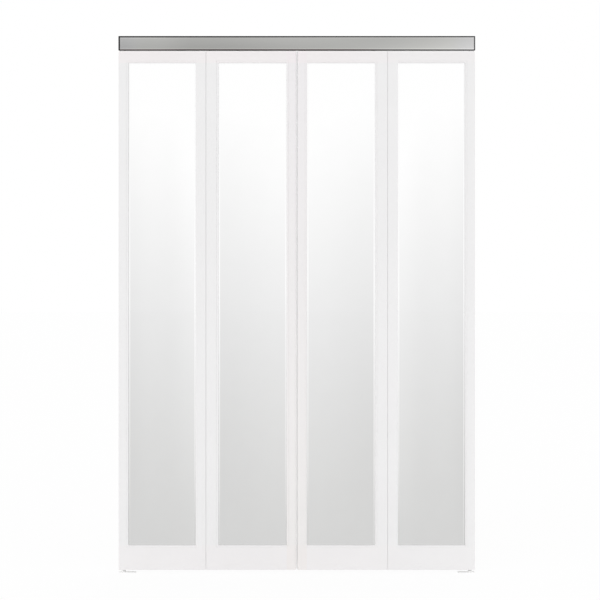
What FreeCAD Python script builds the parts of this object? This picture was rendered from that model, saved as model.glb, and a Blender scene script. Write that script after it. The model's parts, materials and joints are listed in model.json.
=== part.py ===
import FreeCAD, Part
import math
import os

# Mirrored bifold closet door: two pairs of folding leaves under one top track.
# Millimetres.  +X runs along the opening, +Y points into the closet, +Z is up.
# The origin is on the floor at mid-width, on the leaves' middle plane.
# The left half is modelled, and the right half is its mirror image, but for the
# springs, which are all wound the same way.

Vector = FreeCAD.Vector

# ---------------------------------------------------------------- the opening
OPENING_HEIGHT = 2032.0
FLOOR_CLEARANCE = 12.0
FASCIA_HEIGHT = 53.8
HEAD_GAP = 2.0

# ----------------------------------------------------------------- the leaves
LEAF_THICKNESS = 35.0
SIGHT_WIDTH = 254.5
INNER_SIGHT_EXTRA_WIDTH = 3.5
JAMB_STILE_WIDTH = 37.5
OUTER_HINGE_STILE_WIDTH = 38.2
INNER_HINGE_STILE_WIDTH = 47.2
LEAD_STILE_WIDTH = 37.0
TOP_RAIL_HEIGHT = 44.9
BOTTOM_RAIL_HEIGHT = 93.4
HINGE_GAP = 0.6
CENTRE_GAP = 3.0
LEAD_EDGE_BEVEL = 1.6
ARRIS_RADIUS = 0.6

# Moulded inner edge of the frame, and the groove that holds mirror and backing
FRONT_LIP_THICKNESS = 3.4
GROOVE_DEPTH = 8.0
QUIRK_WIDTH = 1.2
QUIRK_DEPTH = 1.1
BEAD_WIDTH = 6.6
BEAD_DROP = 0.4
BEAD_RADIUS = 1.8
BACK_CHAMFER = 3.0
TENON_CLEARANCE = 0.1
PANEL_EDGE_CLEARANCE = 0.5
PANEL_FACE_CLEARANCE = 0.1

MIRROR_THICKNESS = 4.0
MIRROR_VISIBLE_BEVEL = 6.0
MIRROR_BEVEL_DROP = 1.2
BACKING_THICKNESS = 3.0

# -------------------------------------------------------- hinges on the backs
HINGE_HEIGHT = 64.0
HINGE_PLATE_WIDTH = 26.0
HINGE_PLATE_THICKNESS = 2.0
HINGE_CORNER_RADIUS = 5.0
HINGE_PIN_RADIUS = 2.0
HINGE_PIN_HEAD_HEIGHT = 1.2
HINGE_PIN_HEAD_RADIUS = 2.8
KNUCKLE_RADIUS = 3.2
KNUCKLE_COUNT = 5
KNUCKLE_CLEARANCE = 0.3
HINGE_END_DISTANCE = 210.0
HINGES_PER_PAIR = 3
HINGE_AXIS_OFFSET = 3.5

SCREW_HEAD_RADIUS = 3.4
SCREW_SHANK_RADIUS = 1.75
SCREW_LENGTH = 16.0
SCREW_TIP_LENGTH = 3.0
SCREW_EDGE_DISTANCE = 9.0
DRIVE_SLOT_LENGTH = 3.8
DRIVE_SLOT_WIDTH = 0.9
DRIVE_SLOT_DEPTH = 1.1

# ---------------------------------------- pivot and guide pins in the leaves
PIVOT_INSET = 18.0
PIN_RADIUS = 3.5
RUNNING_CLEARANCE = 0.05
FIXING_CLEARANCE = 0.05
MOVING_CLEARANCE = 0.3
SLEEVE_RADIUS = 6.0
SLEEVE_LENGTH = 50.0
SLEEVE_NECK_LENGTH = 18.0
SLEEVE_WALL = 1.2
SLEEVE_FLANGE_RADIUS = 6.6
SLEEVE_FLANGE_THICKNESS = 1.5
PIN_COLLAR_THICKNESS = 3.0
PIN_TAIL_RADIUS = 2.2
PIN_TAIL_LENGTH = 10.0
PIN_CHAMFER = 1.0
TOP_PIN_REACH = 10.0
TOP_SOCKET_SPARE = 2.0
SPRING_WIRE_RADIUS = 0.5
SPRING_WIRE_SIDES = 8
SPRING_TURNS = 8

BOTTOM_SLEEVE_LENGTH = 46.0
BOTTOM_PIN_SHANK = 40.0
HEX_COLLAR_HEIGHT = 3.4
HEX_COLLAR_ACROSS_FLATS = 12.0

# --------------------------------------------------------------- floor bracket
BRACKET_PLATE_THICKNESS = 2.0
BRACKET_LENGTH = 64.0
BRACKET_WIDTH = 20.0
BRACKET_CORNER_RADIUS = 4.0
BRACKET_BOSS_RADIUS = 7.5
BRACKET_BOSS_HEIGHT = 5.5
BRACKET_HOLE_RADIUS = 2.3
BRACKET_FIRST_HOLE = 16.0
BRACKET_HOLE_SPACING = 22.0

# ------------------------------------------------------------ track and fascia
TRACK_INNER_WIDTH = 26.0
TRACK_WALL = 2.0
TRACK_BOTTOM_SETBACK = 3.4
TRACK_LIP_WIDTH = 3.0
TRACK_LIP_THICKNESS = 2.5
HEADER_HOLE_RADIUS = 2.5
OUTER_HEADER_HOLE_X = 560.0
INNER_HEADER_HOLE_X = 190.0

FASCIA_DEPTH = 9.2
FASCIA_WALL = 1.6
FASCIA_EDGE_RADIUS = 3.0
CLIP_RIB_THICKNESS = 3.0
CLIP_RIB_REACH = 4.0
CLIP_HEAD_THICKNESS = 6.0
CLIP_HEAD_DEPTH = 1.6
CLIP_PRONG_THICKNESS = 1.5
CLIP_BARB_DEPTH = 2.0
CLIP_CLEARANCE = 0.1

END_CAP_THICKNESS = 2.5
END_CAP_SPIGOT_LENGTH = 5.0
END_CAP_SPIGOT_WALL = 2.0

WHEEL_THICKNESS = 4.5
WHEEL_SIDE_CLEARANCE = 0.5
WHEEL_EDGE_CHAMFER = 0.6
WHEEL_AXLE_RADIUS = 2.5
WHEEL_HEAD_RADIUS = 4.2
WHEEL_HEAD_HEIGHT = 1.2

TOP_BRACKET_LENGTH = 50.0
TOP_BRACKET_CHAMFER = 2.0
CLAMP_SCREW_RADIUS = 3.0
CLAMP_SCREW_LENGTH = 16.0
CLAMP_SCREW_INSET = 14.0
CLAMP_SOCKET_ACROSS_FLATS = 3.0
CLAMP_SOCKET_DEPTH = 4.0

SNUBBER_CLEARANCE = 0.6
SNUBBER_HEIGHT = 14.0
SNUBBER_POST_LENGTH = 12.0

# ------------------------------------------------- places worked out from them
leaf_bottom = FLOOR_CLEARANCE
leaf_top = OPENING_HEIGHT - FASCIA_HEIGHT - HEAD_GAP
sight_bottom = leaf_bottom + BOTTOM_RAIL_HEIGHT
sight_top = leaf_top - TOP_RAIL_HEIGHT
front_y = -LEAF_THICKNESS / 2
back_y = LEAF_THICKNESS / 2

inner_sight_width = SIGHT_WIDTH + INNER_SIGHT_EXTRA_WIDTH
outer_leaf_width = JAMB_STILE_WIDTH + SIGHT_WIDTH + OUTER_HINGE_STILE_WIDTH
inner_leaf_width = INNER_HINGE_STILE_WIDTH + inner_sight_width + LEAD_STILE_WIDTH
lead_edge_x = -CENTRE_GAP / 2
inner_hinge_edge_x = lead_edge_x - inner_leaf_width
outer_hinge_edge_x = inner_hinge_edge_x - HINGE_GAP
jamb_edge_x = outer_hinge_edge_x - outer_leaf_width

# The hinge axis is midway between pivot and guide, so the guide stays in the
# track's centre line at every angle of the fold.
hinge_x = (outer_hinge_edge_x + inner_hinge_edge_x) / 2
hinge_y = back_y + HINGE_AXIS_OFFSET
pivot_x = jamb_edge_x + PIVOT_INSET
guide_x = 2 * hinge_x - pivot_x

# The hinge axis lies behind the line of the pins, so as a pair starts to fold its
# guide first runs this far towards the middle of the track.
guide_throw = 2 * (math.hypot(hinge_x - pivot_x, hinge_y) - (hinge_x - pivot_x))

groove_front_y = front_y + FRONT_LIP_THICKNESS
bevel_width = GROOVE_DEPTH - PANEL_EDGE_CLEARANCE + MIRROR_VISIBLE_BEVEL
drop_at_lip = MIRROR_BEVEL_DROP * MIRROR_VISIBLE_BEVEL / bevel_width
mirror_front_y = groove_front_y + PANEL_FACE_CLEARANCE - drop_at_lip
mirror_back_y = mirror_front_y + MIRROR_THICKNESS
backing_front_y = mirror_back_y + PANEL_FACE_CLEARANCE
backing_back_y = backing_front_y + BACKING_THICKNESS
groove_back_y = backing_back_y + PANEL_FACE_CLEARANCE

track_bottom = OPENING_HEIGHT - FASCIA_HEIGHT + TRACK_BOTTOM_SETBACK
track_half_width = TRACK_INNER_WIDTH / 2 + TRACK_WALL
track_end_x = jamb_edge_x + END_CAP_THICKNESS
lip_top = track_bottom + TRACK_LIP_THICKNESS
web_bottom = OPENING_HEIGHT - TRACK_WALL
slot_half_width = TRACK_INNER_WIDTH / 2 - TRACK_LIP_WIDTH
track_insert_half_width = TRACK_INNER_WIDTH / 2 - FIXING_CLEARANCE
fascia_front_y = -track_half_width - FASCIA_DEPTH
fascia_back_y = -track_half_width - CLIP_CLEARANCE
fascia_bottom = OPENING_HEIGHT - FASCIA_HEIGHT

sleeve_bore_radius = PIN_RADIUS + RUNNING_CLEARANCE
sleeve_chamber_radius = SLEEVE_RADIUS - SLEEVE_WALL
collar_radius = sleeve_chamber_radius - MOVING_CLEARANCE
spring_mean_radius = sleeve_chamber_radius - 2 * SPRING_WIRE_RADIUS
collar_top = leaf_top - SLEEVE_NECK_LENGTH
collar_bottom = collar_top - PIN_COLLAR_THICKNESS
bore_bottom = leaf_top - SLEEVE_LENGTH
top_pin_end = lip_top + TOP_PIN_REACH
wheel_bottom = track_bottom
wheel_top = wheel_bottom + WHEEL_THICKNESS
wheel_radius = slot_half_width - WHEEL_SIDE_CLEARANCE
wheel_head_top = wheel_top - MOVING_CLEARANCE

boss_top = BRACKET_PLATE_THICKNESS + BRACKET_BOSS_HEIGHT

# A cutter runs past the faces that it opens by this much.
OVERCUT = 1.0


# ------------------------------------------------------------------ small tools
def box(x_range, y_range, z_range):
    """An upright block between two values on each axis."""
    x0, x1 = x_range
    y0, y1 = y_range
    z0, z1 = z_range
    return Part.makeBox(x1 - x0, y1 - y0, z1 - z0, Vector(x0, y0, z0))


def rod(x, y, z0, z1, radius):
    """An upright round bar."""
    return Part.makeCylinder(radius, z1 - z0, Vector(x, y, z0))


def turned(x, y, outline):
    """A body turned about an upright axis from (radius, height) corners."""
    corners = [Vector(x + radius, y, height) for radius, height in outline]
    face = Part.Face(Part.makePolygon(corners + corners[:1]))
    return face.revolve(Vector(x, y, 0), Vector(0, 0, 1), 360)


def hex_bar(x, y, z0, z1, across_flats):
    """An upright hexagonal bar."""
    corner_radius = across_flats / math.sqrt(3)
    corners = []
    for step in range(7):
        angle = math.radians(60 * step)
        corners.append(Vector(x + corner_radius * math.cos(angle),
                              y + corner_radius * math.sin(angle), z0))
    return Part.Face(Part.makePolygon(corners)).extrude(Vector(0, 0, z1 - z0))


def tapered_block(near_x, near_z, near_y, far_x, far_z, far_y):
    """A flat-sided block between two upright rectangles of different size."""
    def corners(x_range, z_range, y):
        x0, x1 = x_range
        z0, z1 = z_range
        return [Vector(x0, y, z0), Vector(x1, y, z0), Vector(x1, y, z1), Vector(x0, y, z1)]

    near = corners(near_x, near_z, near_y)
    far = corners(far_x, far_z, far_y)
    faces = [Part.Face(Part.makePolygon(ring + ring[:1])) for ring in (near, far)]
    for first in range(4):
        second = (first + 1) % 4
        side = [near[first], near[second], far[second], far[first], near[first]]
        faces.append(Part.Face(Part.makePolygon(side)))
    solid = Part.Solid(Part.Shell(faces))
    if solid.Volume < 0:
        solid.reverse()
    return solid


def join(shapes):
    """The shapes fused to one solid, without seams between level faces."""
    fused = shapes[0].multiFuse(shapes[1:]).removeSplitter()
    return fused.Solids[0]


def carve(shape, cutters):
    """The one solid left when the cutters are taken away."""
    return shape.cut(cutters).removeSplitter().Solids[0]


def edges_along(shape, axis, keep):
    """The straight edges along an axis whose middle point passes the test."""
    chosen = []
    for edge in shape.Edges:
        ends = [vertex.Point for vertex in edge.Vertexes]
        if len(ends) != 2:
            continue
        direction = (ends[1] - ends[0]).normalize()
        if abs(direction.dot(axis)) > 0.999 and keep((ends[0] + ends[1]) / 2):
            chosen.append(edge)
    return chosen


def mirrored(shape):
    """The same shape on the other side of the opening's middle."""
    return shape.mirror(Vector(0, 0, 0), Vector(1, 0, 0))


def save(name, solids):
    """Write one node, of one solid or of several separate ones."""
    shape = solids[0] if len(solids) == 1 else Part.makeCompound(solids)
    shape.exportStep(f"parts/{name}.step")


def save_both(name, solids):
    """Write a left node and its mirror image on the right."""
    save(f"left_{name}", solids)
    save(f"right_{name}", [mirrored(solid) for solid in solids])


# ------------------------------------------------------------------ leaf frames
def leaf_blank(x_range, lead_bevel):
    """The leaf's outer form with eased arrises and, on one side, a slanted edge."""
    x0, x1 = x_range
    corners = [
        Vector(x0, front_y, leaf_bottom),
        Vector(x1 - lead_bevel, front_y, leaf_bottom),
        Vector(x1, back_y, leaf_bottom),
        Vector(x0, back_y, leaf_bottom),
    ]
    face = Part.Face(Part.makePolygon(corners + corners[:1]))
    blank = face.extrude(Vector(0, 0, leaf_top - leaf_bottom))
    return blank.makeFillet(ARRIS_RADIUS, blank.Edges)


def bead_cutter(sight_x):
    """What the moulding machine takes off around the sight opening's front edge."""
    x0, x1 = sight_x
    middle_z = (sight_bottom + sight_top) / 2
    bead_foot = BEAD_DROP + BEAD_RADIUS
    arc_share = 1 - math.sqrt(0.5)

    def at(outward, depth):
        return Vector(x0 - outward, front_y + depth, middle_z)

    arc = Part.Arc(at(BEAD_RADIUS, BEAD_DROP),
                   at(BEAD_RADIUS * arc_share, BEAD_DROP + BEAD_RADIUS * arc_share),
                   at(0, bead_foot))
    straight = [
        at(0, bead_foot),
        at(-OVERCUT, bead_foot),
        at(-OVERCUT, -OVERCUT),
        at(BEAD_WIDTH + QUIRK_WIDTH, -OVERCUT),
        at(BEAD_WIDTH + QUIRK_WIDTH, 0),
        at(BEAD_WIDTH + QUIRK_WIDTH / 2, QUIRK_DEPTH),
        at(BEAD_WIDTH, BEAD_DROP),
        at(BEAD_RADIUS, BEAD_DROP),
    ]
    profile = Part.Wire([arc.toShape()] + Part.makePolygon(straight).Edges)
    path = Part.makePolygon([
        Vector(x0, front_y, middle_z),
        Vector(x0, front_y, sight_top),
        Vector(x1, front_y, sight_top),
        Vector(x1, front_y, sight_bottom),
        Vector(x0, front_y, sight_bottom),
        Vector(x0, front_y, middle_z),
    ])
    right_corners = 1
    return path.makePipeShell([profile], True, False, right_corners)


def back_chamfer_cutter(sight_x):
    """The sloping cut around the sight opening's back edge."""
    x0, x1 = sight_x
    grow = BACK_CHAMFER + OVERCUT
    return tapered_block(
        (x0, x1), (sight_bottom, sight_top), back_y - BACK_CHAMFER,
        (x0 - grow, x1 + grow), (sight_bottom - grow, sight_top + grow), back_y + OVERCUT)


def make_leaf(x_range, sight_start, sight_width, lead_bevel, first_stile_cuts, last_stile_cuts):
    """Two stiles, two rails, the mirror and its backing, in that order."""
    x0, x1 = x_range
    sight_x = (x0 + sight_start, x0 + sight_start + sight_width)
    blank = leaf_blank(x_range, lead_bevel)
    whole_y = (front_y - OVERCUT, back_y + OVERCUT)
    whole_z = (leaf_bottom - OVERCUT, leaf_top + OVERCUT)
    groove_y = (groove_front_y, groove_back_y)
    groove_x = (sight_x[0] - GROOVE_DEPTH, sight_x[1] + GROOVE_DEPTH)
    groove_z = (sight_bottom - GROOVE_DEPTH, sight_top + GROOVE_DEPTH)
    mouldings = [bead_cutter(sight_x), back_chamfer_cutter(sight_x)]

    stile_groove = box(groove_x, groove_y, whole_z)
    stiles = []
    for stile_x, cuts in (((x0 - OVERCUT, sight_x[0]), first_stile_cuts),
                          ((sight_x[1], x1 + OVERCUT), last_stile_cuts)):
        plain = box(stile_x, whole_y, whole_z).common(blank).Solids[0]
        stiles.append(carve(plain, [stile_groove] + mouldings + cuts))

    tenon_x = (groove_x[0] + TENON_CLEARANCE, groove_x[1] - TENON_CLEARANCE)
    tenon_y = (groove_y[0] + TENON_CLEARANCE, groove_y[1] - TENON_CLEARANCE)
    rail_groove = box((x0, x1), groove_y, groove_z)
    rails = []
    for rail_z in ((sight_top, leaf_top), (leaf_bottom, sight_bottom)):
        cut_z = (rail_z[0] - (OVERCUT if rail_z[0] == leaf_bottom else 0),
                 rail_z[1] + (OVERCUT if rail_z[1] == leaf_top else 0))
        plain = box(sight_x, whole_y, cut_z).common(blank).Solids[0]
        tenons = box(tenon_x, tenon_y, rail_z)
        rails.append(carve(join([plain, tenons]), [rail_groove] + mouldings))

    panel_x = (groove_x[0] + PANEL_EDGE_CLEARANCE, groove_x[1] - PANEL_EDGE_CLEARANCE)
    panel_z = (groove_z[0] + PANEL_EDGE_CLEARANCE, groove_z[1] - PANEL_EDGE_CLEARANCE)
    flat_x = (panel_x[0] + bevel_width, panel_x[1] - bevel_width)
    flat_z = (panel_z[0] + bevel_width, panel_z[1] - bevel_width)
    bevel_foot_y = mirror_front_y + MIRROR_BEVEL_DROP
    bevel = tapered_block(flat_x, flat_z, mirror_front_y, panel_x, panel_z, bevel_foot_y)
    mirror = join([bevel, box(panel_x, (bevel_foot_y, mirror_back_y), panel_z)])
    backing = box(panel_x, (backing_front_y, backing_back_y), panel_z)
    return stiles + rails + [mirror, backing]


# ----------------------------------------------------------- pins in the leaves
def sprung_sleeve(x):
    """Flanged tube with a close neck and a wider spring chamber below it."""
    flange_bottom = leaf_top - SLEEVE_FLANGE_THICKNESS
    return turned(x, 0, [
        (sleeve_bore_radius, leaf_top),
        (SLEEVE_FLANGE_RADIUS, leaf_top),
        (SLEEVE_FLANGE_RADIUS, flange_bottom),
        (SLEEVE_RADIUS, flange_bottom),
        (SLEEVE_RADIUS, bore_bottom),
        (sleeve_chamber_radius, bore_bottom),
        (sleeve_chamber_radius, collar_top),
        (sleeve_bore_radius, collar_top),
    ])


def sprung_sleeve_bore(x):
    """The stepped hole in the stile's top that the sprung sleeve is pressed into."""
    flange_bottom = leaf_top - SLEEVE_FLANGE_THICKNESS
    outer = SLEEVE_FLANGE_RADIUS + FIXING_CLEARANCE
    inner = SLEEVE_RADIUS + FIXING_CLEARANCE
    return turned(x, 0, [
        (0, leaf_top + OVERCUT), (outer, leaf_top + OVERCUT), (outer, flange_bottom),
        (inner, flange_bottom), (inner, bore_bottom), (0, bore_bottom),
    ])


def sprung_pin_shank():
    """Corners of the tail, collar and shaft, which both sprung pins share."""
    tail_end = collar_bottom - PIN_TAIL_LENGTH
    return [
        (0, tail_end),
        (PIN_TAIL_RADIUS, tail_end),
        (PIN_TAIL_RADIUS, collar_bottom),
        (collar_radius, collar_bottom),
        (collar_radius, collar_top),
        (PIN_RADIUS, collar_top),
    ]


def top_pivot_pin():
    """Sprung pin whose end stands in the top bracket's socket."""
    return turned(pivot_x, 0, sprung_pin_shank() + [
        (PIN_RADIUS, top_pin_end - PIN_CHAMFER),
        (PIN_RADIUS - PIN_CHAMFER, top_pin_end),
        (0, top_pin_end),
    ])


def guide_pin():
    """Sprung pin with a shoulder, an axle for the wheel and a head that keeps it on."""
    shoulder = wheel_bottom - MOVING_CLEARANCE
    head_bottom = wheel_head_top - WHEEL_HEAD_HEIGHT
    return turned(guide_x, 0, sprung_pin_shank() + [
        (PIN_RADIUS, shoulder),
        (WHEEL_AXLE_RADIUS, shoulder),
        (WHEEL_AXLE_RADIUS, head_bottom),
        (WHEEL_HEAD_RADIUS, head_bottom),
        (WHEEL_HEAD_RADIUS, wheel_head_top),
        (0, wheel_head_top),
    ])


def guide_wheel():
    """Flat roller that runs between the track's lips."""
    bore = WHEEL_AXLE_RADIUS + RUNNING_CLEARANCE
    well_radius = WHEEL_HEAD_RADIUS + MOVING_CLEARANCE
    well_bottom = wheel_head_top - WHEEL_HEAD_HEIGHT - MOVING_CLEARANCE
    chamfered = wheel_radius - WHEEL_EDGE_CHAMFER
    return turned(guide_x, 0, [
        (bore, wheel_bottom),
        (chamfered, wheel_bottom),
        (wheel_radius, wheel_bottom + WHEEL_EDGE_CHAMFER),
        (wheel_radius, wheel_top - WHEEL_EDGE_CHAMFER),
        (chamfered, wheel_top),
        (well_radius, wheel_top),
        (well_radius, well_bottom),
        (bore, well_bottom),
    ])


def coil_spring(x):
    """Compression spring of eight-sided wire between the bore's bottom and the collar."""
    rise = collar_bottom - bore_bottom - 2 * SPRING_WIRE_RADIUS
    helix = Part.makeHelix(rise / SPRING_TURNS, rise, spring_mean_radius)
    corners = []
    for step in range(SPRING_WIRE_SIDES + 1):
        angle = 2 * math.pi * step / SPRING_WIRE_SIDES
        corners.append(Vector(spring_mean_radius + SPRING_WIRE_RADIUS * math.cos(angle), 0,
                              SPRING_WIRE_RADIUS * math.sin(angle)))
    spring = Part.Wire(helix).makePipeShell([Part.makePolygon(corners)], True, True)
    spring.translate(Vector(x, 0, bore_bottom + SPRING_WIRE_RADIUS))
    return Part.Solid(spring) if spring.ShapeType != "Solid" else spring


def bottom_sleeve():
    """Plain flanged tube in the jamb stile's foot."""
    flange_top = leaf_bottom + SLEEVE_FLANGE_THICKNESS
    sleeve_top = leaf_bottom + BOTTOM_SLEEVE_LENGTH
    return turned(pivot_x, 0, [
        (sleeve_bore_radius, leaf_bottom),
        (SLEEVE_FLANGE_RADIUS, leaf_bottom),
        (SLEEVE_FLANGE_RADIUS, flange_top),
        (SLEEVE_RADIUS, flange_top),
        (SLEEVE_RADIUS, sleeve_top),
        (sleeve_bore_radius, sleeve_top),
    ])


def bottom_sleeve_bore():
    """The stepped hole in the jamb stile's foot."""
    flange_top = leaf_bottom + SLEEVE_FLANGE_THICKNESS
    bore_top = leaf_bottom + BOTTOM_SLEEVE_LENGTH
    outer = SLEEVE_FLANGE_RADIUS + FIXING_CLEARANCE
    inner = SLEEVE_RADIUS + FIXING_CLEARANCE
    return turned(pivot_x, 0, [
        (0, leaf_bottom - OVERCUT), (outer, leaf_bottom - OVERCUT), (outer, flange_top),
        (inner, flange_top), (inner, bore_top), (0, bore_top),
    ])


def bottom_pivot_pin():
    """Pin that stands in the floor bracket and carries the leaf on its hexagon."""
    hex_top = leaf_bottom - MOVING_CLEARANCE
    hex_bottom = hex_top - HEX_COLLAR_HEIGHT
    shank_top = leaf_bottom + BOTTOM_PIN_SHANK
    shaft = turned(pivot_x, 0, [
        (0, BRACKET_PLATE_THICKNESS),
        (PIN_RADIUS - PIN_CHAMFER, BRACKET_PLATE_THICKNESS),
        (PIN_RADIUS, BRACKET_PLATE_THICKNESS + PIN_CHAMFER),
        (PIN_RADIUS, shank_top - PIN_CHAMFER),
        (PIN_RADIUS - PIN_CHAMFER, shank_top),
        (0, shank_top),
    ])
    return join([shaft, hex_bar(pivot_x, 0, hex_bottom, hex_top, HEX_COLLAR_ACROSS_FLATS)])


def floor_bracket():
    """Floor plate with a socket for the pivot pin and two open screw holes."""
    plate = box((jamb_edge_x, jamb_edge_x + BRACKET_LENGTH),
                (-BRACKET_WIDTH / 2, BRACKET_WIDTH / 2),
                (0, BRACKET_PLATE_THICKNESS))
    corners = edges_along(plate, Vector(0, 0, 1), lambda middle: True)
    plate = plate.makeFillet(BRACKET_CORNER_RADIUS, corners)
    boss = rod(pivot_x, 0, 0, boss_top, BRACKET_BOSS_RADIUS)
    socket = rod(pivot_x, 0, BRACKET_PLATE_THICKNESS, boss_top + OVERCUT,
                 PIN_RADIUS + FIXING_CLEARANCE)
    cutters = [socket]
    for step in range(2):
        hole_x = pivot_x + BRACKET_FIRST_HOLE + step * BRACKET_HOLE_SPACING
        cutters.append(rod(hole_x, 0, -OVERCUT, BRACKET_PLATE_THICKNESS + OVERCUT,
                           BRACKET_HOLE_RADIUS))
    return carve(join([plate, boss]), cutters)


# ----------------------------------------------------------------------- hinges
def hinge_centres():
    """Heights of the hinges' middles, evenly spread between the two end ones."""
    lowest = leaf_bottom + HINGE_END_DISTANCE
    highest = leaf_top - HINGE_END_DISTANCE
    step = (highest - lowest) / (HINGES_PER_PAIR - 1)
    return [lowest + step * count for count in range(HINGES_PER_PAIR)]


def screw_places(side, centre_z):
    """Three staggered screws of one hinge plate; side is -1 outer or +1 inner."""
    outer_x = hinge_x + side * (plate_start() + HINGE_PLATE_WIDTH - SCREW_EDGE_DISTANCE)
    inner_x = hinge_x + side * (plate_start() + SCREW_EDGE_DISTANCE)
    reach = HINGE_HEIGHT / 2 - SCREW_EDGE_DISTANCE
    return [(inner_x, centre_z - reach), (outer_x, centre_z), (inner_x, centre_z + reach)]


def plate_start():
    """Distance from the hinge axis to a plate's straight edge."""
    return KNUCKLE_RADIUS + MOVING_CLEARANCE


def screw_outline(extra_radius, extra_length):
    """Corners of a countersunk wood screw, head up, tip down, from height 0."""
    head_depth = SCREW_HEAD_RADIUS - SCREW_SHANK_RADIUS
    end = -SCREW_LENGTH - extra_length
    return [
        (0, 0),
        (SCREW_HEAD_RADIUS + extra_radius, 0),
        (SCREW_SHANK_RADIUS + extra_radius, -head_depth),
        (SCREW_SHANK_RADIUS + extra_radius, end + SCREW_TIP_LENGTH),
        (0, end),
    ]


def placed_screw(shape, x, z):
    """The screw turned to point into the leaf, its head level with the plate."""
    screw = shape.copy()
    screw.rotate(Vector(0, 0, 0), Vector(1, 0, 0), -90)
    screw.translate(Vector(x, back_y + HINGE_PLATE_THICKNESS, z))
    return screw


def wood_screw():
    """Countersunk screw with a cross recess."""
    half_length = DRIVE_SLOT_LENGTH / 2
    half_width = DRIVE_SLOT_WIDTH / 2
    recess_z = (-DRIVE_SLOT_DEPTH, OVERCUT)
    recess = [box((-half_length, half_length), (-half_width, half_width), recess_z),
              box((-half_width, half_width), (-half_length, half_length), recess_z)]
    return carve(turned(0, 0, screw_outline(0, 0)), recess)


def hinge_screws(side):
    """All the screws of one leaf's hinge plates, as separate solids."""
    screw = wood_screw()
    return [placed_screw(screw, x, z)
            for centre_z in hinge_centres()
            for x, z in screw_places(side, centre_z)]


def screw_cutters(side):
    """Holes for those screws, through the plates and into the stile."""
    cutter = turned(0, 0, screw_outline(FIXING_CLEARANCE, FIXING_CLEARANCE))
    return [placed_screw(cutter, x, z)
            for centre_z in hinge_centres()
            for x, z in screw_places(side, centre_z)]


def hinge_plates(side):
    """The plates of one leaf with their knuckles; side is -1 outer or +1 inner."""
    plates = []
    plate_y = (back_y, back_y + HINGE_PLATE_THICKNESS)
    pitch = HINGE_HEIGHT / KNUCKLE_COUNT
    tab_start = HINGE_GAP / 2 + FIXING_CLEARANCE
    far_x = hinge_x + side * (plate_start() + HINGE_PLATE_WIDTH)
    first_knuckle = 0 if side < 0 else 1
    for centre_z in hinge_centres():
        foot = centre_z - HINGE_HEIGHT / 2
        plate_x = sorted((hinge_x + side * plate_start(), far_x))
        plate = box(plate_x, plate_y, (foot, foot + HINGE_HEIGHT))
        corners = edges_along(plate, Vector(0, 1, 0),
                              lambda middle: abs(middle.x - far_x) < ARRIS_RADIUS)
        pieces = [plate.makeFillet(HINGE_CORNER_RADIUS, corners)]
        bores = []
        for number in range(first_knuckle, KNUCKLE_COUNT, 2):
            low = foot + number * pitch + KNUCKLE_CLEARANCE / 2
            high = low + pitch - KNUCKLE_CLEARANCE
            tab_x = sorted((hinge_x + side * tab_start,
                            hinge_x + side * (plate_start() + HINGE_PLATE_THICKNESS)))
            pieces.append(box(tab_x, plate_y, (low, high)))
            pieces.append(rod(hinge_x, hinge_y, low, high, KNUCKLE_RADIUS))
            bores.append(rod(hinge_x, hinge_y, low - OVERCUT, high + OVERCUT,
                             HINGE_PIN_RADIUS + RUNNING_CLEARANCE))
        plates.append(carve(join(pieces), bores + screw_cutters(side)))
    return plates


def hinge_pins():
    """Headed pins through the knuckles."""
    pins = []
    for centre_z in hinge_centres():
        foot = centre_z - HINGE_HEIGHT / 2
        shoulder = foot + HINGE_HEIGHT
        pins.append(turned(hinge_x, hinge_y, [
            (0, foot),
            (HINGE_PIN_RADIUS, foot),
            (HINGE_PIN_RADIUS, shoulder),
            (HINGE_PIN_HEAD_RADIUS, shoulder),
            (HINGE_PIN_HEAD_RADIUS, shoulder + HINGE_PIN_HEAD_HEIGHT),
            (0, shoulder + HINGE_PIN_HEAD_HEIGHT),
        ]))
    return pins


# ------------------------------------------------------------- track and fascia
def top_track():
    """Channel with inward lips below, a clip rib in front and open screw holes."""
    length = (track_end_x, -track_end_x)
    inner = TRACK_INNER_WIDTH / 2
    rib_z = clip_middle_z()
    pieces = [box(length, (-track_half_width, track_half_width), (web_bottom, OPENING_HEIGHT))]
    for side in (-1, 1):
        wall_y = sorted((side * inner, side * track_half_width))
        lip_y = sorted((side * slot_half_width, side * track_half_width))
        pieces.append(box(length, wall_y, (track_bottom, OPENING_HEIGHT)))
        pieces.append(box(length, lip_y, (track_bottom, lip_top)))
    head_back_y = -track_half_width - CLIP_RIB_REACH
    pieces.append(box(length, (head_back_y, -track_half_width),
                      (rib_z - CLIP_RIB_THICKNESS / 2, rib_z + CLIP_RIB_THICKNESS / 2)))
    pieces.append(box(length, (head_back_y - CLIP_HEAD_DEPTH, head_back_y),
                      (rib_z - CLIP_HEAD_THICKNESS / 2, rib_z + CLIP_HEAD_THICKNESS / 2)))
    holes = [rod(x, 0, web_bottom - OVERCUT, OPENING_HEIGHT + OVERCUT, HEADER_HOLE_RADIUS)
             for x in (-OUTER_HEADER_HOLE_X, -INNER_HEADER_HOLE_X,
                       INNER_HEADER_HOLE_X, OUTER_HEADER_HOLE_X)]
    return carve(join(pieces), holes)


def clip_middle_z():
    """Height of the rib that the fascia clips onto."""
    return OPENING_HEIGHT - FASCIA_HEIGHT / 2


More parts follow.
